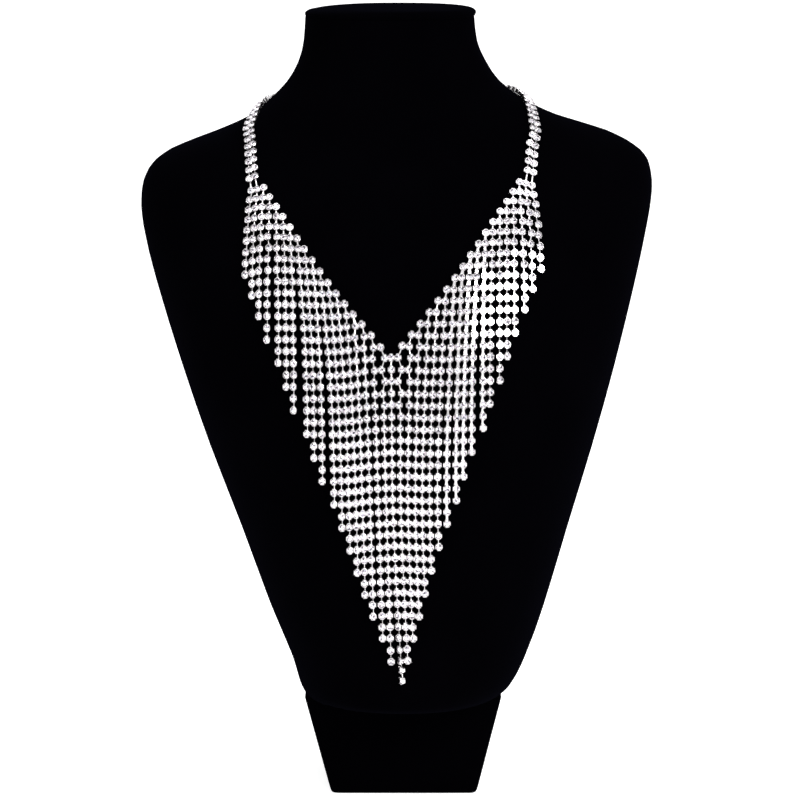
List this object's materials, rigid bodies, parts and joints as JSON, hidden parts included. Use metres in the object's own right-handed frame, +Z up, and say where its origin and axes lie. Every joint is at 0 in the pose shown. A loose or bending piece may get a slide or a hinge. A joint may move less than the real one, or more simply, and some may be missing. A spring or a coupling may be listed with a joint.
{
  "type": "tassel necklace on a neck bust",
  "caption": "V-shaped bib necklace of hanging rhinestone cup chains, with a two-row strap and a clasp, worn by a plain velvet neck bust on a short foot.",
  "frame": {"origin": "middle of the bounding box on the table under the foot", "axes": "+Z up along the bust, the chest and the bib face -Y, +X to the viewer's right"},
  "size_m": [0.201, 0.1422, 0.3055],
  "materials": {
    "velvet": "black velvet cover with a short soft pile",
    "cup_chain": "bright silver-plated brass cups",
    "stones": "clear faceted rhinestones with foiled backs",
    "clasp_metal": "polished silver plate"
  },
  "bodies": {
    "root": {"bust_torso": "velvet", "bust_cap": "velvet", "bust_foot": "velvet", "strap_left": "cup_chain", "strap_right": "cup_chain", "chain_l01": "cup_chain", "chain_l02": "cup_chain", "chain_l03": "cup_chain", "chain_l04": "cup_chain", "chain_l05": "cup_chain", "chain_l06": "cup_chain", "chain_l07": "cup_chain", "chain_l08": "cup_chain", "chain_l09": "cup_chain", "chain_l10": "cup_chain", "chain_l11": "cup_chain", "chain_l12": "cup_chain", "chain_l13": "cup_chain", "chain_l14": "cup_chain", "chain_l15": "cup_chain", "chain_l16": "cup_chain", "chain_l17": "cup_chain", "chain_l18": "cup_chain", "chain_c": "cup_chain", "chain_r18": "cup_chain", "chain_r17": "cup_chain", "chain_r16": "cup_chain", "chain_r15": "cup_chain", "chain_r14": "cup_chain", "chain_r13": "cup_chain", "chain_r12": "cup_chain", "chain_r11": "cup_chain", "chain_r10": "cup_chain", "chain_r09": "cup_chain", "chain_r08": "cup_chain", "chain_r07": "cup_chain", "chain_r06": "cup_chain", "chain_r05": "cup_chain", "chain_r04": "cup_chain", "chain_r03": "cup_chain", "chain_r02": "cup_chain", "chain_r01": "cup_chain", "clasp": "clasp_metal"}
  },
  "joints": []
}
